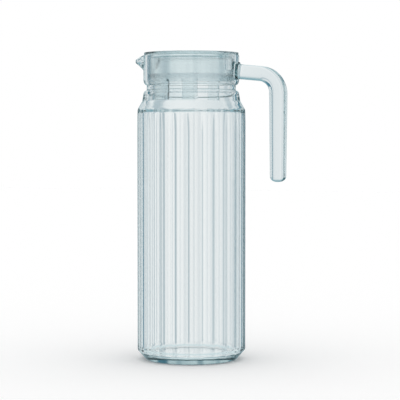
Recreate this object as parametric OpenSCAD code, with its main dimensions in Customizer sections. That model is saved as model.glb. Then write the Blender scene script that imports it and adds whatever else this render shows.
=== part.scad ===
// Glass fridge jug with a clear lid that turns to pour and lifts out.
// +Z is up, and the origin is on the jug's axis in the plane that it stands on.
// +X points to the handle and -X to the spout. Sizes are in millimetres.

/* [Fluted body] */
// Diameter over the ridges between the flutes
body_d = 92.4; // [88:0.2:104]
// Height of the edge where the shoulder starts
body_h = 211.3; // [170:0.1:260]
// Wall thickness at a ridge
wall_t = 3.8; // [3:0.1:5]
// Number of flat flutes round the body
flute_count = 24; // [18:1:30]
// Width of the rounded ridge left between two flutes
flute_land = 0.8; // [0.4:0.1:1.6]

/* [Foot] */
// How far the ring that the jug stands on lies inside the body's edge
seat_inset = 7.7; // [4:0.1:12]
// Width of that ring
seat_w = 7; // [4:0.5:12]
// Height of the bevel between the ring and the body
foot_h = 8.5; // [4:0.5:14]
// Depth of the hollow under the floor
push_up = 1.2; // [0.6:0.1:2.5]
// Height of the floor inside above the table
floor_t = 6; // [4.5:0.5:9]
// Radius between the floor and the wall inside
floor_round = 6; // [4:1:12]

/* [Shoulder and neck] */
// Radius of the shoulder's edge
shoulder_round = 3; // [1:0.5:7]
// Lean of the shoulder from upright, in degrees
shoulder_lean = 30; // [25:1:50]
// How far the collar, and the band under the groove, lie inside the body's edge
neck_inset = 5.5; // [4.5:0.1:6.5]
// Height of the band between the shoulder and the groove
band_h = 6.2; // [5:0.1:10]
// How far the band widens towards its foot
band_flare = 1; // [0.2:0.1:1.2]
// Height of the rounding from the band into the groove
lower_lip_h = 2.9; // [2:0.1:4]
// Height of the groove's straight bottom
groove_h = 4.6; // [2:0.1:6]
// Height of the rounding from the groove out to the collar
upper_lip_h = 4.7; // [3:0.1:6]
// Depth of the groove
groove_in = 2.8; // [2.2:0.1:3.2]
// Height of the collar above the groove's upper lip
collar_h = 21.1; // [21:0.1:32]
// Wall of the collar, which leaves the mouth
collar_wall = 3.7; // [3.2:0.1:4.4]
// How far the waist, behind the groove, lies inside the mouth
waist_step = 2.4; // [1.9:0.1:2.8]
// Radius of the rim's two edges
rim_round = 1.2; // [0.6:0.1:1.6]

/* [Spout] */
// How far the spout's tip reaches past the collar
spout_reach = 10.2; // [6:0.2:14]
// How far the tip lies below the rim
spout_drop = 3.3; // [2:0.1:6]
// Width of the spout where it leaves the rim
spout_w = 25; // [18:1:32]
// Depth of the spout's root below the rim
spout_depth = 17; // [10:0.5:18]
// Glass thickness at the spout's lips
spout_wall = 2.2; // [1.6:0.1:3]
// Radius of the tip
tip_round = 1.3; // [1:0.1:2]

/* [Handle] */
// Distance from the jug's axis to the leg's outer face
handle_reach = 83.8; // [76:0.1:92]
// Depth of the root's middle below the rim
root_depth = 14.7; // [12:0.1:17]
// Length from the root's middle down to the free end
handle_drop = 92.7; // [70:0.1:120]
// Radius of the bend on its middle line
bend_round = 17; // [14:0.5:19]
// Droop of the arm, in degrees
arm_droop = 5.5; // [0:0.5:8]
// Height of the arm at its root
arm_t = 12.4; // [11:0.1:13]
// Thickness of the leg under the bend, across the grip
leg_t = 13.2; // [10:0.1:13.4]
// Thickness of the leg near its free end
leg_end_t = 11.8; // [9:0.1:13]
// Width of the arm
arm_w = 13; // [10:0.5:14]
// Width of the leg near its free end
leg_end_w = 11.6; // [9:0.1:13.4]
// Length of the free end's dome
dome_h = 5; // [3:0.5:6]
// How far the root flares against the collar
root_flare = 1.8; // [0.6:0.2:2]
// Length of that flare
flare_l = 4; // [2:0.5:6]

/* [Lid plate] */
// Thickness of the flange that lies on the rim
flange_t = 1.6; // [1.2:0.1:2.4]
// How far the flange stays inside the collar's edge
flange_inset = 0.6; // [0.2:0.1:1.4]
// Thickness of the plate's floor
plate_t = 1.4; // [1:0.1:2]
// Depth of the dish in the lid's top
dish_depth = 3.6; // [3:0.2:5]
// Slope width of the dish's side
dish_side = 1.6; // [1:0.2:4]
// Width of the grip bar across the dish
grip_w = 7; // [5:0.5:10]
// Wall of the grip bar, which is hollow from below
grip_wall = 1.2; // [1:0.1:1.8]

/* [Lid skirt] */
// Gap between the skirt and the mouth, on the radius
skirt_gap = 0.5; // [0.3:0.1:0.8]
// Wall of the skirt
skirt_t = 1.6; // [1.5:0.1:2]
// Width of the pouring window
window_w = 26; // [14:1:32]
// Height of the pouring window
window_h = 9.5; // [6:0.5:10]

/* [Lid tongues] */
// Turn of the two side tongues from the handle, in degrees
tongue_turn = 72; // [60:1:84]
// Width of a side tongue
tongue_w = 12.6; // [8:0.2:16]
// Half of the angle that the broad tongue at the spout spans, in degrees
dam_half = 76; // [50:1:80]
// Thickness of a tongue's web
web_t = 1.1; // [0.8:0.1:1.5]
// Height of the thick pad at a tongue's end
pad_h = 5.5; // [4:0.1:8]
// Thickness of that pad
pad_t = 2.1; // [1.6:0.1:2.6]
// Gap between a pad and the waist, on the radius
pad_gap = 0.4; // [0.3:0.1:1]

/* [Seal] */
// Height of the seal ring
seal_h = 3; // [2:0.5:3]
// Height of the ring's seat above the skirt's lower edge
seal_up = 3; // [2:0.5:4]
// Depth of that seat in the skirt
seal_seat = 0.8; // [0.6:0.1:0.9]
// Gap between the ring and the mouth, on the radius
seal_gap = 0.15; // [0.1:0.05:0.3]
// Running gap between the ring and its seat
turn_gap = 0.15; // [0.1:0.05:0.2]

/* [Hidden] */
$fn = 96;

// Overrun that carries a cut past a face, or a piece into its neighbour
lap = 1;
// Steps along a rounded corner of an outline
arc_steps = 6;

// Radii that several pieces share
body_r = body_d / 2;
inner_r = body_r - wall_t;
seat_out_r = body_r - seat_inset;
seat_in_r = seat_out_r - seat_w;
collar_r = body_r - neck_inset;
groove_r = collar_r - groove_in;
bore_r = collar_r - collar_wall;
waist_r = bore_r - waist_step;
band_foot_r = collar_r + band_flare;

// Heights, from the table up
shoulder_arc_z = body_h + shoulder_round * sin(shoulder_lean);
shoulder_arc_r = body_r - shoulder_round * (1 - cos(shoulder_lean));
band_z = shoulder_arc_z + (shoulder_arc_r - band_foot_r) / tan(shoulder_lean);
band_top_z = band_z + band_h;
groove_z = band_top_z + lower_lip_h;
groove_top_z = groove_z + groove_h;
collar_z = groove_top_z + upper_lip_h;
rim_z = collar_z + collar_h;

// Inside of the shoulder, which keeps the wall's thickness
inner_shoulder_z = body_h - wall_t / 2;
inner_arc_z = inner_shoulder_z + shoulder_round * sin(shoulder_lean);
inner_arc_r = inner_r - shoulder_round * (1 - cos(shoulder_lean));
inner_neck_z = inner_arc_z + (inner_arc_r - bore_r) / tan(shoulder_lean);

// Flat flutes: the sides of one prism whose corners the body's round cuts back to ridges
flute_step = 360 / flute_count;
flute_half = flute_step / 2 - flute_land / body_r * 90 / PI;
flute_prism_r = body_r * cos(flute_half) / cos(flute_step / 2);

// Handle's middle line in the X-Z plane
root_z = rim_z - root_depth;
leg_x = handle_reach - leg_t / 2;
bend_x = leg_x - bend_round * (1 - sin(arm_droop));
arm_l = (bend_x - collar_r) / cos(arm_droop);
bend_mid_x = leg_x - bend_round;
bend_mid_z = root_z - (bend_x - collar_r) * tan(arm_droop) - bend_round * cos(arm_droop);
free_z = root_z - handle_drop;
leg_l = bend_mid_z - free_z;
// Length of arm inside the collar, before the root is cut to the glass
root_inside = 2.5;
// Shares of the arm's and the leg's length at which a ring of the handle is set
arm_shares = [0, 0.3, 0.65, 1];
leg_shares = [0.2, 0.4, 0.6, 0.8];
// Rings in the flare, the bend and the dome, and points round one ring
flare_rings = 6;
bend_rings = 12;
dome_rings = 8;
ring_points = 24;
// Turn of the dome's last ring, in degrees, and the power that swells the dome
dome_turn = 86;
dome_power = 0.8;
// Squareness of the handle's section: 2 is an ellipse, more is squarer
section_power = 4.5;

// Lid levels and radii
flange_r = collar_r - flange_inset;
lid_top_z = rim_z + flange_t;
skirt_r = bore_r - skirt_gap;
skirt_in_r = skirt_r - skirt_t;
skirt_z = groove_top_z + waist_step + skirt_gap;
dish_z = lid_top_z - dish_depth;
dish_r = skirt_in_r - dish_side;
plate_z = dish_z - plate_t;
window_top_z = plate_z - plate_t / 2;
window_z = window_top_z - window_h;
pad_r = waist_r - pad_gap;
pad_in_r = pad_r - pad_t;
web_r = pad_in_r + web_t;
pad_top_z = groove_z - waist_step;
pad_z = pad_top_z - pad_h;

// Seal ring and its seat
seat_z = skirt_z + seal_up;
seat_h = seal_h + 2 * turn_gap;
seat_r = skirt_r - seal_seat;
seal_r = bore_r - seal_gap;
seal_in_r = seat_r + turn_gap;

// Points of an arc round [cx, cz], with its own radius along each axis
function oval(cx, cz, rx, rz, from, to) = [
    for (i = [0:arc_steps]) let (a = from + (to - from) * i / arc_steps) [cx + rx * cos(a), cz + rz * sin(a)]
];
function arc(cx, cz, r, from, to) = oval(cx, cz, r, r, from, to);

// Half of the angle that a width spans at a radius
function half_angle(width, r) = asin(width / 2 / r);

// Outside of the turned glass, from the axis out and up to the rim
function outer_outline() = concat(
    [[0, push_up], [seat_in_r - push_up, push_up], [seat_in_r, 0], [seat_out_r, 0], [body_r, foot_h]],
    arc(body_r - shoulder_round, body_h, shoulder_round, 0, shoulder_lean),
    [[band_foot_r, band_z]],
    oval(groove_r, band_top_z, groove_in, lower_lip_h, 0, 90),
    oval(groove_r, collar_z, groove_in, upper_lip_h, -90, 0),
    arc(collar_r - rim_round, rim_z - rim_round, rim_round, 0, 90),
    [[0, rim_z]]
);

// Hollow of the turned glass, from the axis out and up past the rim
function inner_outline() = concat(
    [[0, floor_t]],
    arc(inner_r - floor_round, floor_t + floor_round, floor_round, -90, 0),
    arc(inner_r - shoulder_round, inner_shoulder_z, shoulder_round, 0, shoulder_lean),
    [[bore_r, inner_neck_z], [bore_r, groove_z - waist_step], [waist_r, groove_z]],
    [[waist_r, groove_top_z], [bore_r, groove_top_z + waist_step]],
    arc(bore_r + rim_round, rim_z - rim_round, rim_round, 180, 90),
    [[bore_r + rim_round, rim_z + lap], [0, rim_z + lap]]
);

// Block of ring round the axis, centred on an angle
module ring_sector(in_r, out_r, z, h, middle, half) {
    rotate([0, 0, middle - half])
        rotate_extrude(angle = 2 * half)
            translate([in_r, z]) square([out_r - in_r, h]);
}

// Pipe between two radii
module pipe(in_r, out_r, z, h) {
    translate([0, 0, z]) difference() {
        cylinder(r = out_r, h = h);
        translate([0, 0, -lap]) cylinder(r = in_r, h = h + 2 * lap);
    }
}

// Turned outside of the jug
module turned_outside() {
    rotate_extrude() polygon(outer_outline());
}

// Prism whose sides are the flutes, with a corner on the handle's plane
module flute_prism() {
    translate([0, 0, -lap]) linear_extrude(height = rim_z + 2 * lap)
        polygon([for (i = [0:flute_count - 1]) flute_prism_r * [cos(i * flute_step), sin(i * flute_step)]]);
}

// Beak that leaves the collar and narrows to the tip
module spout_outside() {
    root_r = collar_r - spout_wall / 2;
    half = half_angle(spout_w, collar_r);
    hull() {
        ring_sector(root_r - spout_wall, root_r, rim_z - spout_wall, spout_wall, 180, half, $fn = 64);
        translate([spout_wall - root_r, 0, rim_z - spout_depth + spout_wall])
            sphere(r = spout_wall, $fn = 24);
        translate([tip_round - collar_r - spout_reach, 0, rim_z - spout_drop - tip_round])
            sphere(r = tip_round, $fn = 24);
    }
}

// Channel along the beak, open upwards
module spout_channel() {
    root_r = bore_r - spout_wall / 2;
    half = half_angle(spout_w - 2 * spout_wall, collar_r);
    floor_z = rim_z - spout_drop - tip_round;
    hull() {
        ring_sector(root_r - spout_wall, root_r, rim_z - spout_wall, spout_wall + lap, 180, half, $fn = 64);
        translate([spout_wall - root_r, 0, rim_z - spout_depth + 2 * spout_wall])
            sphere(r = spout_wall, $fn = 24);
        translate([spout_wall + tip_round - collar_r - spout_reach, 0, floor_z])
            cylinder(r = tip_round, h = rim_z + lap - floor_z, $fn = 24);
    }
}

// Turned and fluted glass with its spout
module glass_body() {
    color([0.72, 0.86, 0.88, 0.5]) difference() {
        union() {
            intersection() {
                turned_outside();
                flute_prism();
            }
            spout_outside();
        }
        rotate_extrude() polygon(inner_outline());
        spout_channel();
    }
}

// Rings of the handle: [x, z, heading, half thickness, half width]
function flare(s) = s >= flare_l ? 0 : root_flare * (1 - sqrt(1 - pow(1 - max(s, 0) / flare_l, 2)));
function arm_ring(s) = [
    collar_r + s * cos(arm_droop), root_z - s * sin(arm_droop), -arm_droop,
    arm_t / 2 + flare(s), arm_w / 2 + flare(s)
];
function bend_ring(share) = let (a = arm_droop + (90 - arm_droop) * share) [
    bend_mid_x + bend_round * sin(a), bend_mid_z + bend_round * cos(a), -a,
    (arm_t + (leg_t - arm_t) * share) / 2, arm_w / 2
];
function leg_ring(share) = [
    leg_x, bend_mid_z - (leg_l - dome_h) * share, -90,
    (leg_t + (leg_end_t - leg_t) * share) / 2, (arm_w + (leg_end_w - arm_w) * share) / 2
];
function dome_ring(a) = [
    leg_x, free_z + dome_h * (1 - sin(a)), -90,
    leg_end_t / 2 * pow(cos(a), dome_power), leg_end_w / 2 * pow(cos(a), dome_power)
];
function handle_rings() = concat(
    [arm_ring(-root_inside)],
    [for (i = [0:flare_rings - 1]) arm_ring(flare_l * i / flare_rings)],
    [for (share = arm_shares) arm_ring(flare_l + (arm_l - flare_l) * share)],
    [for (i = [1:bend_rings]) bend_ring(i / bend_rings)],
    [for (share = leg_shares) leg_ring(share)],
    [for (i = [0:dome_rings - 1]) dome_ring(dome_turn * i / (dome_rings - 1))]
);

// Signed power, which squares an ellipse up, and the points of one ring
function squared(v) = sign(v) * pow(abs(v), 2 / section_power);
function ring_outline(ring) = [
    for (k = [0:ring_points - 1])
        let (a = 360 * k / ring_points, u = ring[3] * squared(cos(a)), v = ring[4] * squared(sin(a)))
            [ring[0] - u * sin(ring[2]), v, ring[1] + u * cos(ring[2])]
];

// Skin swept along the rings, closed by a face at each end
module swept(rings) {
    last = len(rings) - 1;
    sides = [
        for (j = [0:last - 1], k = [0:ring_points - 1])
            let (a = j * ring_points + k, b = j * ring_points + (k + 1) % ring_points)
                each [[a, b, b + ring_points], [a, b + ring_points, a + ring_points]]
    ];
    root_face = [for (k = [ring_points - 1:-1:0]) k];
    end_face = [for (k = [0:ring_points - 1]) last * ring_points + k];
    polyhedron(
        points = [for (ring = rings) each ring_outline(ring)],
        faces = concat(sides, [root_face, end_face]),
        convexity = 4
    );
}

// Glass hook of a handle, shaped to the collar at its root and free at its end
module handle() {
    color([0.78, 0.89, 0.91, 0.5]) difference() {
        swept(handle_rings());
        turned_outside();
    }
}

// Flange, dish and floor of the lid, turned in one piece
module lid_plate() {
    rotate_extrude() polygon([
        [0, plate_z], [dish_r, plate_z], [skirt_in_r, rim_z - plate_t], [skirt_in_r, rim_z],
        [flange_r, rim_z], [flange_r, lid_top_z], [skirt_in_r, lid_top_z], [dish_r, dish_z], [0, dish_z]
    ]);
}

// Bar across the dish that fingers turn and pull the lid by, smaller all round by an inset
module grip_block(inset, bottom_z) {
    length = 2 * sqrt(pow(dish_r, 2) - pow(grip_w / 2, 2)) - 2 * inset;
    width = grip_w - 2 * inset;
    translate([-length / 2, -width / 2, bottom_z]) cube([length, width, lid_top_z - inset - bottom_z]);
}

// Tongue that hangs from the skirt through the waist, with a thick pad at its end
module tongue(turn, half) {
    ring_sector(pad_in_r, web_r, pad_z, skirt_z + skirt_t - pad_z, turn, half);
    ring_sector(pad_in_r, pad_r, pad_z, pad_h, turn, half);
    ring_sector(pad_in_r, skirt_in_r + lap, skirt_z, skirt_t, turn, half);
}

// Clear lid: flanged plate, skirt in the mouth, window to pour through and tongues below
module lid() {
    color([0.80, 0.88, 0.93, 0.5]) difference() {
        union() {
            lid_plate();
            grip_block(0, plate_z);
            pipe(skirt_in_r, skirt_r, skirt_z, rim_z + flange_t / 2 - skirt_z);
            for (side = [-1, 1]) tongue(side * tongue_turn, half_angle(tongue_w, pad_r));
            tongue(180, dam_half);
        }
        grip_block(grip_wall, plate_z - lap);
        ring_sector(skirt_in_r - lap, skirt_r + lap, window_z, window_h, 0, half_angle(window_w, skirt_r));
        pipe(seat_r, skirt_r + lap, seat_z, seat_h);
    }
}

// Soft clear ring in the skirt's seat
module seal_ring() {
    color([0.92, 0.94, 0.94, 0.8]) pipe(seal_in_r, seal_r, seat_z + turn_gap, seal_h);
}

glass_body();
handle();
lid();
seal_ring();
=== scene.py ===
"""Looks of a pressed glass fridge jug with its clear lid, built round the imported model.

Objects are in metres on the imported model's axes: +X points to the handle, -X to the beak and
+Z is up. The sizes of the pieces are named in millimetres and brought to metres by MM.
"""

import logging
import math
from dataclasses import dataclass
from enum import Enum
from typing import Callable, ClassVar, NamedTuple, Sequence

import bmesh
import bpy
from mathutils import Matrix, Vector


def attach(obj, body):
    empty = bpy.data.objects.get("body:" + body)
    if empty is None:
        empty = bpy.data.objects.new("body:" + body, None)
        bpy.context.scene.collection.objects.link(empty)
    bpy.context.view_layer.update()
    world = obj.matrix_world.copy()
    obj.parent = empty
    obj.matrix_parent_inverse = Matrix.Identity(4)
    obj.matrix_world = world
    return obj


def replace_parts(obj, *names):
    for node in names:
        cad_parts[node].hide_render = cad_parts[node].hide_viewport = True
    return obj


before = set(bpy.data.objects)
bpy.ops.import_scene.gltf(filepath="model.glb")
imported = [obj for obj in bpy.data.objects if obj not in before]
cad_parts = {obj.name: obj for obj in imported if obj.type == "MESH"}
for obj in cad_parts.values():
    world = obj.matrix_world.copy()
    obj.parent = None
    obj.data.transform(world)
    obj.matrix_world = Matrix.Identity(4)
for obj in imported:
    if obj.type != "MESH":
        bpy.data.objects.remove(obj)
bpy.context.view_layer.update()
bpy.ops.object.select_all(action="DESELECT")

LOG = logging.getLogger("jug")
MM = 0.001
MERGE_DISTANCE = 0.02 * MM
FLAT_ANGLE = 0.4

Pair = tuple[float, float]
Colour = tuple[float, float, float]
Socket = bpy.types.NodeSocket


class Slot(Enum):
    """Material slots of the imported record."""

    GLASS = "glass"
    PLASTIC = "clear_plastic"
    SEAL = "clear_silicone"


class Body(Enum):
    """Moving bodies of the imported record."""

    JUG = "jug"
    SEAL = "seal"
    LID = "lid"


class HookRing(NamedTuple):
    """One cross section of the hook handle: its place, heading in radians and half sizes."""

    x: float
    z: float
    heading: float
    half_t: float
    half_w: float


def only(obj: bpy.types.Object) -> None:
    """Selects one object and makes it active.

    Args:
        obj: The object.
    """
    bpy.ops.object.select_all(action="DESELECT")
    obj.select_set(True)
    bpy.context.view_layer.objects.active = obj


def arc(centre: Pair, radii: Pair, start: float, end: float, steps: int) -> list[Pair]:
    """Lays points along an upright oval's arc.

    Args:
        centre: Radius and height of the oval's centre.
        radii: Half axes along the radius and the height.
        start: First angle in degrees.
        end: Last angle in degrees.
        steps: Number of steps between them.

    Returns:
        Points from start to end, both included.
    """
    points = []
    for i in range(steps + 1):
        turn = math.radians(start + (end - start) * i / steps)
        points.append((centre[0] + radii[0] * math.cos(turn), centre[1] + radii[1] * math.sin(turn)))
    return points


def filled(points: Sequence[Pair], step: float) -> list[Pair]:
    """Adds points to an outline, so that no stretch is longer than a step.

    Args:
        points: Corners of the outline.
        step: Longest stretch to leave.

    Returns:
        The outline with its long stretches divided.
    """
    result = [points[0]]
    for (r0, z0), (r1, z1) in zip(points, points[1:]):
        length = math.hypot(r1 - r0, z1 - z0)
        if length < MERGE_DISTANCE / MM:
            continue
        count = max(1, math.ceil(length / step))
        result += [(r0 + (r1 - r0) * i / count, z0 + (z1 - z0) * i / count) for i in range(1, count + 1)]
    return result


def smooth_step(low: float, high: float, value: float) -> float:
    """Gives a share that goes from 0 at low to 1 at high, with soft ends."""
    share = min(1.0, max(0.0, (value - low) / (high - low)))
    return share * share * (3 - 2 * share)


def soft_least(first: float, second: float, blend: float) -> float:
    """Gives the smaller of two values, with a soft change from one to the other.

    Args:
        first: One value.
        second: The other value.
        blend: Difference over which they blend, or 0 for a sharp change.

    Returns:
        The smaller value, and a little less where the two are close.
    """
    if blend <= 0:
        return min(first, second)
    share = min(1.0, max(0.0, 0.5 + 0.5 * (second - first) / blend))
    return second + (first - second) * share - blend * share * (1 - share)


class Bench:
    """Modelling steps that several pieces share."""

    @staticmethod
    def drawn_outline(name: str, points: Sequence[Pair]) -> bpy.types.Object:
        """Draws an outline in the X-Z plane, one extruded point after another.

        Args:
            name: Name of the piece.
            points: Radius and height of each point, in millimetres.

        Returns:
            An object that holds the outline as one chain of edges, in edit mode.
        """
        bpy.ops.mesh.primitive_plane_add(size=MM, location=(0, 0, 0))
        obj = bpy.context.active_object
        obj.name = name
        bpy.ops.object.mode_set(mode="EDIT")
        bpy.ops.mesh.select_all(action="SELECT")
        bpy.ops.mesh.merge(type="CENTER")
        radius, height = points[0]
        bpy.ops.transform.translate(value=(radius * MM, 0, height * MM))
        for (r0, z0), (r1, z1) in zip(points, points[1:]):
            move = ((r1 - r0) * MM, 0, (z1 - z0) * MM)
            bpy.ops.mesh.extrude_region_move(TRANSFORM_OT_translate={"value": move})
        return obj

    @staticmethod
    def turned(name: str, points: Sequence[Pair], steps: int) -> bpy.types.Object:
        """Turns a closed outline round the axis into a solid.

        Args:
            name: Name of the piece.
            points: Radius and height of each point, in millimetres, from axis to axis or closed.
            steps: Number of steps round the turn.

        Returns:
            The turned object, in object mode.
        """
        obj = Bench.drawn_outline(name, points)
        bpy.ops.mesh.select_all(action="SELECT")
        bpy.ops.mesh.spin(steps=steps, angle=2 * math.pi, center=(0, 0, 0), axis=(0, 0, 1))
        bpy.ops.mesh.select_all(action="SELECT")
        bpy.ops.mesh.remove_doubles(threshold=MERGE_DISTANCE)
        bpy.ops.mesh.normals_make_consistent(inside=False)
        bpy.ops.object.mode_set(mode="OBJECT")
        return obj

    @staticmethod
    def reshaped(obj: bpy.types.Object, change: Callable[[Vector], Vector]) -> None:
        """Moves each vertex of a piece to where a rule puts it.

        Args:
            obj: The piece.
            change: Rule that gives a vertex's new place from its old one.
        """
        for vertex in obj.data.vertices:
            vertex.co = change(vertex.co)
        obj.data.update()

    @staticmethod
    def lofted(name: str, rings: Sequence[Sequence[Vector]]) -> bpy.types.Object:
        """Extrudes one closed ring after another into a solid.

        Args:
            name: Name of the piece.
            rings: Rings of as many points each, in metres.

        Returns:
            The closed object, in object mode.
        """
        count = len(rings[0])
        bpy.ops.mesh.primitive_circle_add(vertices=count, radius=1.0, fill_type="NGON")
        obj = bpy.context.active_object
        obj.name = name
        for vertex, place in zip(obj.data.vertices, rings[0]):
            vertex.co = place
        bpy.ops.object.mode_set(mode="EDIT")
        for before, ring in zip(rings, rings[1:]):
            bpy.ops.mesh.extrude_region_move()
            mesh = bmesh.from_edit_mesh(obj.data)
            chosen = [v for v in mesh.verts if v.select]
            for vertex in chosen:
                nearest = min(range(count), key=lambda i, co=vertex.co: (before[i] - co).length_squared)
                vertex.co = ring[nearest]
            bmesh.update_edit_mesh(obj.data)
        bpy.ops.mesh.select_all(action="SELECT")
        bpy.ops.mesh.normals_make_consistent(inside=False)
        bpy.ops.object.mode_set(mode="OBJECT")
        return obj

    @staticmethod
    def fused(obj: bpy.types.Object, other: bpy.types.Object) -> None:
        """Joins another solid to a piece under one skin, and removes the other solid.

        Args:
            obj: The piece that stays.
            other: The solid that goes into it.
        """
        only(obj)
        modifier = obj.modifiers.new("fuse", "BOOLEAN")
        modifier.operation = "UNION"
        modifier.solver = "EXACT"
        modifier.object = other
        bpy.ops.object.modifier_apply(modifier=modifier.name)
        bpy.data.objects.remove(other, do_unlink=True)

    @staticmethod
    def cad_copy(node: str, name: str) -> bpy.types.Object:
        """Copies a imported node's mesh and merges its loose triangles.

        Args:
            node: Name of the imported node.
            name: Name of the new piece.

        Returns:
            The merged copy, with its flat faces dissolved.
        """
        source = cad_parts[node]
        obj = bpy.data.objects.new(name, source.data.copy())
        bpy.context.scene.collection.objects.link(obj)
        obj.data.materials.clear()
        only(obj)
        bpy.ops.object.mode_set(mode="EDIT")
        bpy.ops.mesh.select_all(action="SELECT")
        bpy.ops.mesh.customdata_custom_splitnormals_clear()
        bpy.ops.mesh.remove_doubles(threshold=MERGE_DISTANCE)
        bpy.ops.mesh.dissolve_limited(angle_limit=math.radians(FLAT_ANGLE))
        bpy.ops.object.mode_set(mode="OBJECT")
        return obj

    @staticmethod
    def softened(obj: bpy.types.Object, width: float, segments: int, angle: float) -> None:
        """Rounds a piece's sharp edges and shades it smooth.

        Args:
            obj: The piece.
            width: Width of the rounding in millimetres.
            segments: Segments of the rounding.
            angle: Least angle between two faces that is rounded, in degrees.
        """
        only(obj)
        modifier = obj.modifiers.new("edges", "BEVEL")
        modifier.width = width * MM
        modifier.segments = segments
        modifier.limit_method = "ANGLE"
        modifier.angle_limit = math.radians(angle)
        modifier.use_clamp_overlap = True
        modifier.miter_outer = "MITER_ARC"
        bpy.ops.object.modifier_apply(modifier=modifier.name)
        bpy.ops.object.shade_smooth_by_angle(angle=math.radians(angle))

    @staticmethod
    def settled(obj: bpy.types.Object, body: Body, slot: Slot, material: bpy.types.Material) -> None:
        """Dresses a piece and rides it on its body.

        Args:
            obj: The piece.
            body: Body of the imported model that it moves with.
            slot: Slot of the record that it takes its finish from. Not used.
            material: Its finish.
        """
        obj.data.materials.clear()
        obj.data.materials.append(material)
        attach(obj, body.value)
        LOG.info("%s: %d faces, on %s", obj.name, len(obj.data.polygons), body.value)


@dataclass(frozen=True)
class ClearFinish:
    """Clear glass, plastic or rubber, whose tint deepens with the way that light goes inside it.

    A wave's height is in millimetres. A scale says how often a pattern varies in a metre, and
    haze is how much rougher the surface gets in places.
    """

    name: str
    surface_tint: Colour
    tint: Colour
    density: float
    bend: float
    roughness: float
    haze: float
    wave_scale: float
    wave_height: float
    wave_detail: float = 1.0
    haze_scale: float = 90.0
    haze_detail: float = 3.0
    haze_edges: Pair = (0.45, 0.8)

    def material(self) -> bpy.types.Material:
        """Builds the finish as nodes.

        Returns:
            A material with a bending surface, a faint waviness and a coloured inside.
        """
        made = bpy.data.materials.new(self.name)
        made.use_nodes = True
        nodes, links = made.node_tree.nodes, made.node_tree.links
        nodes.clear()
        out = nodes.new("ShaderNodeOutputMaterial")
        surface = nodes.new("ShaderNodeBsdfPrincipled")
        surface.inputs["Base Color"].default_value = (*self.surface_tint, 1)
        surface.inputs["Transmission Weight"].default_value = 1.0
        surface.inputs["IOR"].default_value = self.bend
        bump = nodes.new("ShaderNodeBump")
        bump.inputs["Strength"].default_value = 1.0
        bump.inputs["Distance"].default_value = self.wave_height * MM
        wave = self.noise(made.node_tree, self.wave_scale, self.wave_detail)
        links.new(wave, bump.inputs["Height"])
        links.new(bump.outputs["Normal"], surface.inputs["Normal"])
        surface.inputs["Roughness"].default_value = self.roughness
        if self.haze > 0:
            rough = nodes.new("ShaderNodeMapRange")
            low, high = rough.inputs["From Min"], rough.inputs["From Max"]
            low.default_value, high.default_value = self.haze_edges
            rough.inputs["To Min"].default_value = self.roughness
            rough.inputs["To Max"].default_value = self.roughness + self.haze
            grain = self.noise(made.node_tree, self.haze_scale, self.haze_detail)
            links.new(grain, rough.inputs["Value"])
            links.new(rough.outputs["Result"], surface.inputs["Roughness"])
        links.new(surface.outputs["BSDF"], out.inputs["Surface"])
        inside = nodes.new("ShaderNodeVolumeAbsorption")
        inside.inputs["Color"].default_value = (*self.tint, 1.0)
        inside.inputs["Density"].default_value = self.density
        links.new(inside.outputs["Volume"], out.inputs["Volume"])
        return made

    @staticmethod
    def noise(tree: bpy.types.NodeTree, scale: float, detail: float) -> Socket:
        """Adds a noise that lies still on the piece.

        Args:
            tree: The material's nodes.
            scale: How many times it varies in a metre.
            detail: How many finer layers it has.

        Returns:
            A socket with a value about 0.5.
        """
        coords = tree.nodes.new("ShaderNodeTexCoord")
        noise = tree.nodes.new("ShaderNodeTexNoise")
        noise.inputs["Scale"].default_value = scale
        noise.inputs["Detail"].default_value = detail
        tree.links.new(coords.outputs["Object"], noise.inputs["Vector"])
        return noise.outputs["Fac"]


PRESSED_GLASS = ClearFinish(
    name="pressed_glass",
    surface_tint=(0.965, 0.972, 0.972),
    tint=(0.52, 0.68, 0.70),
    density=20.0,
    bend=1.5,
    roughness=0.0,
    haze=0.0,
    wave_scale=14.0,
    wave_height=0.12,
)
LID_PLASTIC = ClearFinish(
    name="lid_plastic",
    surface_tint=(0.925, 0.965, 0.97),
    tint=(0.40, 0.70, 0.74),
    density=6.0,
    bend=1.48,
    roughness=0.12,
    haze=0.05,
    wave_scale=60.0,
    wave_height=0.01,
)
SEAL_RUBBER = ClearFinish(
    name="seal_rubber",
    surface_tint=(0.95, 0.97, 0.98),
    tint=(0.85, 0.92, 0.94),
    density=60.0,
    bend=1.41,
    roughness=0.25,
    haze=0.05,
    wave_scale=400.0,
    wave_height=0.01,
)


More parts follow.
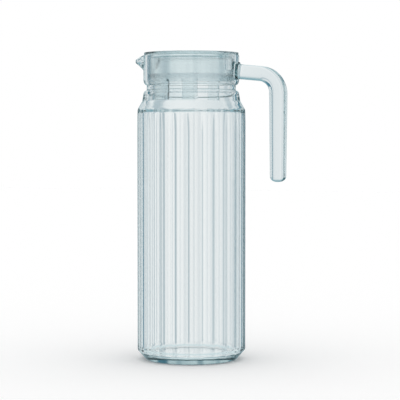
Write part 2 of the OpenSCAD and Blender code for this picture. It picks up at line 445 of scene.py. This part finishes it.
@dataclass
class Vessel:
    """The pressed glass jug with its beak, its foot and its hook handle, all one piece of glass."""

    body_r: float = 46.2
    body_h: float = 211.3
    wall: float = 3.8
    flutes: int = 24
    land: float = 0.8
    seat_out_r: float = 38.5
    seat_in_r: float = 31.5
    foot_h: float = 8.5
    push_up: float = 1.2
    floor_t: float = 6.0
    floor_round: float = 6.0
    shoulder_round: float = 3.0
    lean: float = 30.0
    collar_r: float = 40.7
    groove_r: float = 37.9
    bore_r: float = 37.0
    waist_r: float = 34.6
    band_h: float = 6.2
    band_flare: float = 1.0
    lower_lip_h: float = 2.9
    groove_h: float = 4.6
    upper_lip_h: float = 4.7
    collar_h: float = 21.1
    rim_round: float = 1.2

    # Small roundings. An in or up size says how far the rounding's centre lies in from an edge or
    # up from a level, and a turn gives its first and last angle in degrees.
    seat_round: float = 2.0
    seat_round_in: float = 0.886
    heel_round: float = 3.0
    heel_round_up: float = 1.158
    foot_turn: float = -42.2
    band_fillet: float = 0.8
    band_fillet_up: float = 0.3
    band_fillet_turn: Pair = (210, 184)
    groove_fillet: float = 0.3
    groove_fillet_turn: Pair = (250, 180)
    waist_edge_in: float = 0.3
    waist_edge_up: float = 0.6

    # The beak. Its root's and nose's shares say how wide and how blunt it is where it starts.
    beak_reach: float = 10.2
    beak_drop: float = 3.3
    beak_w: float = 25.0
    beak_depth: float = 17.0
    beak_wall: float = 2.2
    beak_tip_r: float = 1.3
    beak_root_up: float = 0.6
    beak_root_share: float = 0.25
    beak_nose_share: float = 0.6

    # Where the flutes fade out at the foot and soften under the shoulder. The skin is the share
    # of the wall that takes the flutes' shape at the foot.
    foot_over: float = 2.0
    flute_fade: float = 5.0
    skin: float = 0.25
    crest_blend: float = 0.9
    crest_l: float = 5.0

    # How fine the mesh is.
    fine_step: float = 0.55
    collar_step: float = 1.1
    wall_step: float = 9.0
    columns_per_flute: int = 16
    column_shares: tuple[float, ...] = (0, 0.15, 0.3, 0.45, 0.6, 0.75, 0.87, 0.945, 1)
    axis_r: float = 0.01
    smooth_angle: float = 38.0

    def __post_init__(self) -> None:
        """Works out the levels that the sizes give."""
        lean = math.radians(self.lean)
        arc_z = self.body_h + self.shoulder_round * math.sin(lean)
        arc_r = self.body_r - self.shoulder_round * (1 - math.cos(lean))
        self.band_foot_r = self.collar_r + self.band_flare
        self.band_z = arc_z + (arc_r - self.band_foot_r) / math.tan(lean)
        self.band_top_z = self.band_z + self.band_h
        self.groove_z = self.band_top_z + self.lower_lip_h
        self.groove_top_z = self.groove_z + self.groove_h
        self.collar_z = self.groove_top_z + self.upper_lip_h
        self.rim_z = self.collar_z + self.collar_h

    def outer_outline(self) -> list[Pair]:
        """Draws the outside.

        Returns:
            Radii and heights from the axis under the floor up to the rim's middle.
        """
        lip = self.collar_r - self.groove_r
        seat = (self.seat_out_r - self.seat_round_in, self.seat_round)
        heel = (self.body_r - self.heel_round, self.foot_h + self.heel_round_up)
        shoulder = (self.body_r - self.shoulder_round, self.body_h)
        band = (self.band_foot_r + self.band_fillet, self.band_z + self.band_fillet_up)
        groove = (self.groove_r + self.groove_fillet, self.groove_z + self.groove_fillet)
        rim = (self.collar_r - self.rim_round, self.rim_z - self.rim_round)
        return (
            [(0, self.push_up), (self.seat_in_r - self.push_up, self.push_up), (self.seat_in_r, 0)]
            + arc(seat, (self.seat_round,) * 2, -90, self.foot_turn, steps=8)
            + arc(heel, (self.heel_round,) * 2, self.foot_turn, 0, steps=10)
            + arc(shoulder, (self.shoulder_round,) * 2, 0, self.lean, steps=12)
            + arc(band, (self.band_fillet,) * 2, *self.band_fillet_turn, steps=3)
            + arc((self.groove_r, self.band_top_z), (lip, self.lower_lip_h), 0, 90, steps=10)
            + arc(groove, (self.groove_fillet,) * 2, *self.groove_fillet_turn, steps=2)
            + arc((self.groove_r, self.collar_z), (lip, self.upper_lip_h), -90, 0, steps=12)
            + arc(rim, (self.rim_round,) * 2, 0, 90, steps=6)
        )

    def inner_outline(self) -> list[Pair]:
        """Draws the hollow.

        Returns:
            Radii and heights from the rim's middle down to the axis over the floor.
        """
        inner_r = self.body_r - self.wall
        step = self.bore_r - self.waist_r
        low = self.groove_z - step
        high = self.groove_top_z + step
        edge_in, edge_up = self.waist_edge_in, self.waist_edge_up
        shoulder = (inner_r - self.shoulder_round, self.body_h - self.wall / 2)
        neck_arc = arc(shoulder, (self.shoulder_round,) * 2, 0, self.lean, steps=8)
        neck_z = neck_arc[-1][1] + (neck_arc[-1][0] - self.bore_r) / math.tan(math.radians(self.lean))
        rim = (self.bore_r + self.rim_round, self.rim_z - self.rim_round)
        floor = (inner_r - self.floor_round, self.floor_t + self.floor_round)
        return (
            arc(rim, (self.rim_round,) * 2, 90, 180, steps=6)
            + [(self.bore_r, high + edge_up), (self.bore_r - edge_in, high)]
            + [(self.waist_r + edge_in, self.groove_top_z), (self.waist_r, self.groove_top_z - edge_up)]
            + [(self.waist_r, self.groove_z + edge_up), (self.waist_r + edge_in, self.groove_z)]
            + [(self.bore_r - edge_in, low), (self.bore_r, low - edge_up)]
            + [(self.bore_r, neck_z)]
            + neck_arc[::-1]
            + arc(floor, (self.floor_round,) * 2, 0, -90, steps=14)
            + [(0, self.floor_t)]
        )

    def outline(self) -> list[Pair]:
        """Joins both outlines, finer where the flutes end and where the beak rises.

        Returns:
            Radii and heights of the whole outline, from axis to axis.
        """
        points = self.outer_outline() + self.inner_outline()
        result: list[Pair] = [points[0]]
        for before, after in zip(points, points[1:]):
            height = (before[1] + after[1]) / 2
            outside = max(before[0], after[0]) > self.body_r - self.wall / 2
            at_flute_end = height < self.foot_h + self.foot_over or height > self.body_h - self.crest_l
            if outside and at_flute_end:
                step = self.fine_step
            elif height > self.collar_z:
                step = self.collar_step
            else:
                step = self.wall_step
            result += filled([before, after], step)[1:]
        return result

    def column_angle(self, x: float, y: float) -> float:
        """Moves an evenly spaced column of vertices, so that columns gather at the ridges.

        Args:
            x: A vertex's place along X.
            y: Its place along Y.

        Returns:
            The column's new angle round the axis, in radians.
        """
        pitch = 2 * math.pi / self.flutes
        half = self.columns_per_flute // 2
        column = round(math.atan2(y, x) / pitch * self.columns_per_flute)
        flute, place = divmod(column, self.columns_per_flute)
        offset = place - half
        share = self.column_shares[abs(offset)] * (1 if offset >= 0 else -1)
        return (flute + 0.5 + share / 2) * pitch

    def flute_radius(self, angle: float) -> float:
        """Finds the flat of the flute at an angle.

        Args:
            angle: Angle round the axis, in radians.

        Returns:
            Its distance from the axis in millimetres, which passes the body's radius at a ridge.
        """
        pitch = 2 * math.pi / self.flutes
        half = pitch / 2 - self.land / 2 / self.body_r
        flat = self.body_r * math.cos(half)
        off = (angle % pitch) - pitch / 2
        return flat / math.cos(off)

    def beak_radius(self, off: float, z: float, inner: bool) -> float:
        """Finds how far the beak's side lies from the axis, at an angle from its middle.

        Args:
            off: Angle from the beak's middle plane, in radians.
            z: Height in millimetres.
            inner: True for the channel and False for the outside.

        Returns:
            The distance in millimetres, or 0 beside the beak.
        """
        root_z = self.rim_z - self.beak_depth + (2 * self.beak_wall if inner else self.beak_root_up)
        tip_z = self.rim_z - self.beak_drop - (self.beak_tip_r if inner else 0)
        share = min(1.0, max(0.0, (z - root_z) / (tip_z - root_z)))
        if share <= 0:
            return 0.0
        wall = self.beak_wall if inner else 0
        base_r = self.bore_r if inner else self.collar_r
        tip = self.collar_r + self.beak_reach - wall
        reach = base_r + (tip - base_r) * share
        spread = self.beak_root_share + (1 - self.beak_root_share) * share
        side = math.asin((self.beak_w / 2 - wall) * spread / base_r)
        if off >= side:
            return 0.0
        start = Vector((base_r * math.cos(side), base_r * math.sin(side)))
        nose = self.beak_tip_r * (self.beak_nose_share + self.beak_nose_share * share)
        centre = Vector((reach - nose, 0))
        ray = Vector((math.cos(off), math.sin(off)))
        along = (start - centre).normalized()
        normal = Vector((along.y, -along.x))
        if normal.x < 0:
            normal = -normal
        touch = centre + normal * nose
        line = (touch.dot(normal)) / ray.dot(normal)
        cross = centre.x * ray.y
        round_nose = centre.x * ray.x + math.sqrt(nose**2 - cross**2) if abs(cross) < nose else 0.0
        point = ray * line
        return round_nose if round_nose and point.dot(along) < touch.dot(along) else line

    def beaked(self, radius: float, z: float, angle: float) -> Pair:
        """Pushes a point of the collar out into the beak.

        Args:
            radius: The point's distance from the axis in millimetres.
            z: Its height in millimetres.
            angle: Its angle round the axis, in radians.

        Returns:
            Its new distance and height, the same as before away from the beak.
        """
        off = abs(math.remainder(angle - math.pi, 2 * math.pi))
        wall = self.collar_r - self.bore_r
        share = min(1.0, max(0.0, (radius - self.bore_r) / wall))
        outer = max(self.collar_r, self.beak_radius(off, z, False))
        inner = max(self.bore_r, self.beak_radius(off, z, True))
        pushed = inner + (outer - inner) * share
        rise = min(1.0, (pushed - radius) / self.beak_reach)
        level = smooth_step(self.rim_z - self.beak_depth, self.rim_z, z)
        return max(pushed, radius), z - self.beak_drop * max(0.0, rise) * level

    def shaped(self, place: Vector) -> Vector:
        """Says where a vertex of the turned jug goes: onto a flute, into the beak or nowhere.

        Args:
            place: The vertex's place on the turned jug, in metres.

        Returns:
            Its place on the finished jug, in metres.
        """
        x, y, z = place.x / MM, place.y / MM, place.z / MM
        radius = math.hypot(x, y)
        if radius < self.axis_r:
            return place
        angle = self.column_angle(x, y)
        flat = min(self.body_r, self.flute_radius(angle))
        slope_r = self.seat_out_r + (self.body_r - self.seat_out_r) * z / self.foot_h
        if z < self.foot_h + self.foot_over and radius > slope_r - self.wall * self.skin:
            depth = smooth_step(self.foot_h - self.flute_fade, self.foot_h, z)
            radius *= 1 - depth * (1 - flat / self.body_r)
        else:
            blend = self.crest_blend * smooth_step(self.body_h - self.crest_l, self.body_h, z)
            radius = soft_least(radius, flat, blend if z < self.band_z else 0.0)
        if z > self.collar_z:
            radius, z = self.beaked(radius, z, angle)
        return Vector((radius * math.cos(angle) * MM, radius * math.sin(angle) * MM, z * MM))

    def build(self, handle: "Handle", material: bpy.types.Material) -> bpy.types.Object:
        """Models the jug in one piece of glass with its handle.

        Args:
            handle: The hook handle that is fused to the collar.
            material: Finish of the glass.

        Returns:
            The finished piece.
        """
        jug = Bench.turned("jug_glass", self.outline(), self.flutes * self.columns_per_flute)
        Bench.reshaped(jug, self.shaped)
        Bench.fused(jug, handle.build())
        only(jug)
        bpy.ops.object.shade_smooth_by_angle(angle=math.radians(self.smooth_angle))
        Bench.settled(jug, Body.JUG, Slot.GLASS, material)
        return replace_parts(jug, "glass_body", "handle")


@dataclass
class Handle:
    """The solid glass hook, flared where it meets the collar and free at its lower end."""

    collar_r: float = 40.7
    reach: float = 83.8
    root_z: float = 244.698
    drop: float = 92.7
    bend: float = 17.0
    droop: float = 5.5
    arm_t: float = 12.4
    leg_t: float = 13.2
    leg_end_t: float = 11.8
    arm_w: float = 13.0
    leg_end_w: float = 11.6
    dome: float = 5.0
    dome_end: float = 88.0
    dome_power: float = 0.8
    flare: float = 1.8
    flare_l: float = 4.0
    inside: float = 2.5

    # Roundings of the section, as shares of its smaller half size.
    outer_round: float = 0.3
    arm_inner_round: float = 0.85
    leg_inner_round: float = 0.35

    # How fine the mesh is.
    flare_steps: int = 8
    arm_steps: int = 7
    bend_steps: int = 20
    leg_steps: int = 15
    dome_steps: int = 11
    corner_steps: int = 12
    side_steps: int = 4

    def rings(self) -> list[HookRing]:
        """Lays cross sections along the hook.

        Returns:
            The rings from inside the collar's wall to the leg's lower end.
        """
        droop = math.radians(self.droop)
        down = -math.pi / 2
        leg_x = self.reach - self.leg_t / 2
        bend_x = leg_x - self.bend * (1 - math.sin(droop))
        mid_x = leg_x - self.bend
        mid_z = self.root_z - (bend_x - self.collar_r) * math.tan(droop) - self.bend * math.cos(droop)
        arm_l = (bend_x - self.collar_r) / math.cos(droop)
        end_z = self.root_z - self.drop
        leg_l = mid_z - end_z
        found = []
        arm = [-self.inside] + [self.flare_l * i / self.flare_steps for i in range(self.flare_steps)]
        for i in range(self.arm_steps + 1):
            arm.append(self.flare_l + (arm_l - self.flare_l) * i / self.arm_steps)
        for s in arm:
            part = 1 - max(s, 0) / self.flare_l
            wide = 0.0 if s >= self.flare_l else self.flare * (1 - math.sqrt(1 - part**2))
            x, z = self.collar_r + s * math.cos(droop), self.root_z - s * math.sin(droop)
            found.append(HookRing(x, z, -droop, self.arm_t / 2 + wide, self.arm_w / 2 + wide))
        for i in range(1, self.bend_steps + 1):
            a = droop + (math.pi / 2 - droop) * i / self.bend_steps
            thick = (self.arm_t + (self.leg_t - self.arm_t) * i / self.bend_steps) / 2
            x, z = mid_x + self.bend * math.sin(a), mid_z + self.bend * math.cos(a)
            found.append(HookRing(x, z, -a, thick, self.arm_w / 2))
        for i in range(1, self.leg_steps):
            share = i / self.leg_steps
            thick = (self.leg_t + (self.leg_end_t - self.leg_t) * share) / 2
            width = (self.arm_w + (self.leg_end_w - self.arm_w) * share) / 2
            found.append(HookRing(leg_x, mid_z - (leg_l - self.dome) * share, down, thick, width))
        for i in range(self.dome_steps + 1):
            a = math.radians(self.dome_end * i / self.dome_steps)
            shrink = math.cos(a) ** self.dome_power
            z = end_z + self.dome * (1 - math.sin(a))
            half_t, half_w = self.leg_end_t / 2 * shrink, self.leg_end_w / 2 * shrink
            found.append(HookRing(leg_x, z, down, half_t, half_w))
        return found

    def ring_points(self, ring: HookRing) -> list[Vector]:
        """Draws one ring, a rounded box that is rounder under the arm than elsewhere.

        Args:
            ring: Place, heading and half sizes of the ring.

        Returns:
            Its points in metres, as many on each ring.
        """
        turned = smooth_step(0.0, math.pi / 2, -ring.heading)
        inner_round = self.arm_inner_round + (self.leg_inner_round - self.arm_inner_round) * turned
        corners = []
        for side in range(4):
            outer = side in (0, 3)
            radius = (self.outer_round if outer else inner_round) * min(ring.half_t, ring.half_w)
            across = ring.half_t - radius if outer else radius - ring.half_t
            along = ring.half_w - radius if side in (0, 1) else radius - ring.half_w
            start = side * 90
            corners.append(arc((across, along), (radius, radius), start, start + 90, self.corner_steps))
        section = []
        for corner, following in zip(corners, corners[1:] + corners[:1]):
            (u0, v0), (u1, v1) = corner[-1], following[0]
            shares = [i / self.side_steps for i in range(self.side_steps)]
            section += corner[:-1] + [(u0 + (u1 - u0) * s, v0 + (v1 - v0) * s) for s in shares]
        sine, cosine = math.sin(ring.heading), math.cos(ring.heading)
        return [Vector((ring.x - u * sine, v, ring.z + u * cosine)) * MM for u, v in section]

    def build(self) -> bpy.types.Object:
        """Models the hook as one lofted solid."""
        return Bench.lofted("hook", [self.ring_points(ring) for ring in self.rings()])


@dataclass
class Lid:
    """The clear moulded lid: flange, dish with its grip bar, skirt, window and tongues."""

    edge: float = 0.15
    segments: int = 2
    edge_angle: float = 30.0

    def build(self, material: bpy.types.Material) -> bpy.types.Object:
        """Rounds the moulding's edges and dresses it.

        Args:
            material: Finish of the plastic.

        Returns:
            The finished piece.
        """
        lid = Bench.cad_copy("lid", "lid_moulding")
        Bench.softened(lid, self.edge, self.segments, self.edge_angle)
        Bench.settled(lid, Body.LID, Slot.PLASTIC, material)
        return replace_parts(lid, "lid")


@dataclass
class SealRing:
    """The soft clear ring in the skirt's seat."""

    inner_r: float = 35.85
    outer_r: float = 36.85
    low_z: float = 239.648
    height: float = 3.0
    lips: int = 3
    lip_in: float = 0.22
    lip_power: int = 3
    steps_per_lip: int = 12
    turn_steps: int = 160
    smooth_angle: float = 40.0

    def build(self, material: bpy.types.Material) -> bpy.types.Object:
        """Models the ring with its shallow lips.

        Args:
            material: Finish of the ring.

        Returns:
            The finished piece.
        """
        steps = self.steps_per_lip * self.lips
        outline = [(self.inner_r, self.low_z)]
        for i in range(steps + 1):
            dip = self.lip_in * abs(math.cos(math.pi * self.lips * i / steps)) ** self.lip_power
            outline.append((self.outer_r - dip, self.low_z + self.height * i / steps))
        outline += [(self.inner_r, self.low_z + self.height), (self.inner_r, self.low_z)]
        ring = Bench.turned("seal_lips", outline, self.turn_steps)
        only(ring)
        bpy.ops.object.shade_smooth_by_angle(angle=math.radians(self.smooth_angle))
        Bench.settled(ring, Body.SEAL, Slot.SEAL, material)
        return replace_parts(ring, "seal_ring")


@dataclass
class LightNodes:
    """Nodes that make the studio's light, on one world."""

    # Places of a Mix node's colour sockets, which share their names with its other sockets.
    MIX_LOW: ClassVar[int] = 6
    MIX_HIGH: ClassVar[int] = 7
    MIX_RESULT: ClassVar[int] = 2

    tree: bpy.types.NodeTree

    def sum_of(self, operation: str, *values: Socket | float) -> Socket:
        """Adds a Math node.

        Args:
            operation: Blender's name for the sum.
            values: Sockets or plain numbers that go in.

        Returns:
            A socket with the result.
        """
        node = self.tree.nodes.new("ShaderNodeMath")
        node.operation = operation
        for slot, value in zip(node.inputs, values):
            if isinstance(value, float):
                slot.default_value = value
            else:
                self.tree.links.new(value, slot)
        return node.outputs["Value"]

    def direction(self) -> tuple[Socket, Socket]:
        """Finds where a ray goes.

        Returns:
            Its angle round the jug in radians, and its rise from -1 to 1.
        """
        coords = self.tree.nodes.new("ShaderNodeTexCoord")
        split = self.tree.nodes.new("ShaderNodeSeparateXYZ")
        self.tree.links.new(coords.outputs["Generated"], split.inputs["Vector"])
        return self.sum_of("ARCTAN2", split.outputs["Y"], split.outputs["X"]), split.outputs["Z"]

    def ripple(self, turn: Socket, count: int, crest: float, low: float, high: float) -> Socket:
        """Adds a value that rises and falls between two levels a number of times round the turn.

        Args:
            turn: Angle round the jug.
            count: Number of crests.
            crest: Place of one crest, in degrees.
            low: Lowest value.
            high: Highest value.

        Returns:
            A socket with the value.
        """
        wave = self.sum_of("MULTIPLY_ADD", turn, float(count), -count * math.radians(crest))
        wave = self.sum_of("COSINE", wave)
        return self.sum_of("MULTIPLY_ADD", wave, (high - low) / 2, (high + low) / 2)

    def eased(self, value: Socket, edges: Pair) -> Socket:
        """Adds a share that goes softly from 0 to 1.

        Args:
            value: What the share follows.
            edges: Values at which the share is 0 and 1.

        Returns:
            A socket with the share.
        """
        soft = self.tree.nodes.new("ShaderNodeMapRange")
        soft.interpolation_type = "SMOOTHSTEP"
        soft.inputs["From Min"].default_value, soft.inputs["From Max"].default_value = edges
        self.tree.links.new(value, soft.inputs["Value"])
        return soft.outputs["Result"]

    def even(self, colour: Colour) -> Socket:
        """Adds light of one colour.

        Args:
            colour: The colour.

        Returns:
            A socket with the light.
        """
        node = self.tree.nodes.new("ShaderNodeBackground")
        node.inputs["Color"].default_value = (*colour, 1)
        return node.outputs["Background"]

    def between(self, share: Socket, low: Colour, high: Colour) -> Socket:
        """Adds light that goes from one colour to another.

        Args:
            share: How far it has gone.
            low: Colour at 0.
            high: Colour at 1.

        Returns:
            A socket with the light.
        """
        blend = self.tree.nodes.new("ShaderNodeMix")
        blend.data_type = "RGBA"
        self.tree.links.new(share, blend.inputs["Factor"])
        blend.inputs[self.MIX_LOW].default_value = (*low, 1)
        blend.inputs[self.MIX_HIGH].default_value = (*high, 1)
        node = self.tree.nodes.new("ShaderNodeBackground")
        self.tree.links.new(blend.outputs[self.MIX_RESULT], node.inputs["Color"])
        return node.outputs["Background"]

    def choice(self, share: Socket, low: Socket, high: Socket) -> Socket:
        """Mixes two lights.

        Args:
            share: How much of the second light there is.
            low: First light.
            high: Second light.

        Returns:
            A socket with the mix.
        """
        node = self.tree.nodes.new("ShaderNodeMixShader")
        self.tree.links.new(share, node.inputs["Fac"])
        self.tree.links.new(low, node.inputs[1])
        self.tree.links.new(high, node.inputs[2])
        return node.outputs["Shader"]


@dataclass
class Studio:
    """Floor, light and camera. Lengths are in metres, except the sensor's width in millimetres."""

    azimuth: float = 20.0
    distance: float = 1.350
    height: float = 0.1904
    tilt: float = 2.315
    focal_px: float = 1583.0
    picture_px: float = 400.0
    axis_px: float = 191.3
    sensor: float = 36.0
    sight: float = 30.0
    floor_size: float = 8.0
    floor_gap: float = 0.0002
    bounces: int = 40
    mirror_bounces: int = 24

    # Ring of tall panels that glass bends into view, with gaps, dark cards and folds. A turn is
    # the place of one of them in degrees, and edges are where its share is 0 and 1.
    panel_count: int = 22
    panel_turn: float = 10.5
    gap_edges: Pair = (-0.33, -0.97)
    gap_reach: Pair = (0.85, 0.3)
    gap_depth: float = 0.45
    card_count: int = 5
    card_turn: float = 84.0
    card_edges: Pair = (0.72, 0.95)
    fold_count: int = 32
    fold_turn: float = -1.25
    fold_depth: float = 0.16

    # Colours seen through the glass and mirrored on it.
    white: Colour = (1.0, 1.0, 1.0)
    gap_through: Colour = (0.05, 0.20, 0.28)
    panel_mirrored: Colour = (0.38, 0.53, 0.57)
    gap_mirrored: Colour = (0.07, 0.15, 0.18)
    table_edges: Pair = (-0.25, -0.5)
    table_through: Colour = (0.76, 0.86, 0.88)
    ceiling_edges: Pair = (0.25, 0.60)
    ceiling_through: Colour = (0.25, 0.43, 0.49)

    def camera(self) -> None:
        """Sets the camera where the photograph was taken from."""
        data = bpy.data.cameras.new("camera")
        data.sensor_width = self.sensor
        data.lens = self.focal_px / self.picture_px * self.sensor
        data.shift_x = (self.picture_px / 2 - self.axis_px) / self.picture_px
        data.clip_end = self.sight
        camera = bpy.data.objects.new("camera", data)
        bpy.context.scene.collection.objects.link(camera)
        turn = math.radians(self.azimuth)
        camera.location = (self.distance * math.sin(turn), -self.distance * math.cos(turn), self.height)
        camera.rotation_euler = (math.radians(90 - self.tilt), 0, turn)
        bpy.context.scene.camera = camera

    def floor(self) -> None:
        """Lays a wide pale floor that keeps the jug's shadow."""
        bpy.ops.mesh.primitive_plane_add(size=self.floor_size, location=(0, 0, -self.floor_gap))
        floor = bpy.context.active_object
        floor.name = "floor"
        made = bpy.data.materials.new("floor_white")
        made.use_nodes = True
        shader = made.node_tree.nodes["Principled BSDF"]
        shader.inputs["Base Color"].default_value = (*self.white, 1)
        shader.inputs["Roughness"].default_value = 1.0
        shader.inputs["Specular IOR Level"].default_value = 0.0
        floor.data.materials.append(made)
        floor.visible_transmission = False
        floor.visible_glossy = False

    def panels(self, nodes: LightNodes, turn: Socket, rise: Socket) -> Socket:
        """Sets up a ring of tall soft panels with gaps and dark cards.

        Args:
            nodes: The world's nodes.
            turn: Angle round the jug.
            rise: Height of the direction.

        Returns:
            A socket that is 1 on a panel and 0 on a dark card at eye level.
        """
        wave = nodes.ripple(turn, self.panel_count, self.panel_turn, -1.0, 1.0)
        gap = nodes.sum_of("MULTIPLY", nodes.eased(wave, self.gap_edges), self.gap_depth)
        wave = nodes.ripple(turn, self.card_count, self.card_turn, -1.0, 1.0)
        card = nodes.eased(wave, self.card_edges)
        reach = nodes.eased(nodes.sum_of("ABSOLUTE", rise), self.gap_reach)
        gap = nodes.sum_of("MULTIPLY", nodes.sum_of("MAXIMUM", gap, card), reach)
        fold = nodes.ripple(turn, self.fold_count, self.fold_turn, 1 - self.fold_depth, 1.0)
        return nodes.sum_of("MULTIPLY", nodes.sum_of("SUBTRACT", 1.0, gap), fold)

    def world(self) -> None:
        """Lights all round softly, white where it is looked at, with panels where glass looks."""
        world = bpy.data.worlds.new("studio")
        bpy.context.scene.world = world
        world.use_nodes = True
        world.node_tree.nodes.clear()
        nodes = LightNodes(world.node_tree)
        out = nodes.tree.nodes.new("ShaderNodeOutputWorld")
        ray = nodes.tree.nodes.new("ShaderNodeLightPath").outputs
        turn, rise = nodes.direction()
        panels = self.panels(nodes, turn, rise)
        around = nodes.between(panels, self.gap_through, self.white)
        low = nodes.eased(rise, self.table_edges)
        high = nodes.eased(rise, self.ceiling_edges)
        through = nodes.choice(low, around, nodes.even(self.table_through))
        through = nodes.choice(high, through, nodes.even(self.ceiling_through))
        mirrored = nodes.between(panels, self.gap_mirrored, self.panel_mirrored)
        light = nodes.choice(ray["Is Glossy Ray"], nodes.even(self.white), mirrored)
        light = nodes.choice(ray["Is Transmission Ray"], light, through)
        light = nodes.choice(ray["Is Camera Ray"], light, nodes.even(self.white))
        nodes.tree.links.new(light, out.inputs["Surface"])

    def build(self) -> None:
        """Sets up the whole studio."""
        scene = bpy.context.scene
        scene.view_settings.view_transform = "Standard"
        scene.cycles.max_bounces = self.bounces
        scene.cycles.transmission_bounces = self.bounces
        scene.cycles.glossy_bounces = self.mirror_bounces
        scene.cycles.transparent_max_bounces = self.bounces
        self.camera()
        self.floor()
        self.world()


def main() -> None:
    """Builds the studio and each piece in turn."""
    logging.basicConfig(level=logging.INFO, format="%(relativeCreated)6d ms  %(message)s")
    Studio().build()
    Vessel().build(Handle(), PRESSED_GLASS.material())
    Lid().build(LID_PLASTIC.material())
    SealRing().build(SEAL_RUBBER.material())


if __name__ == "__main__":
    main()
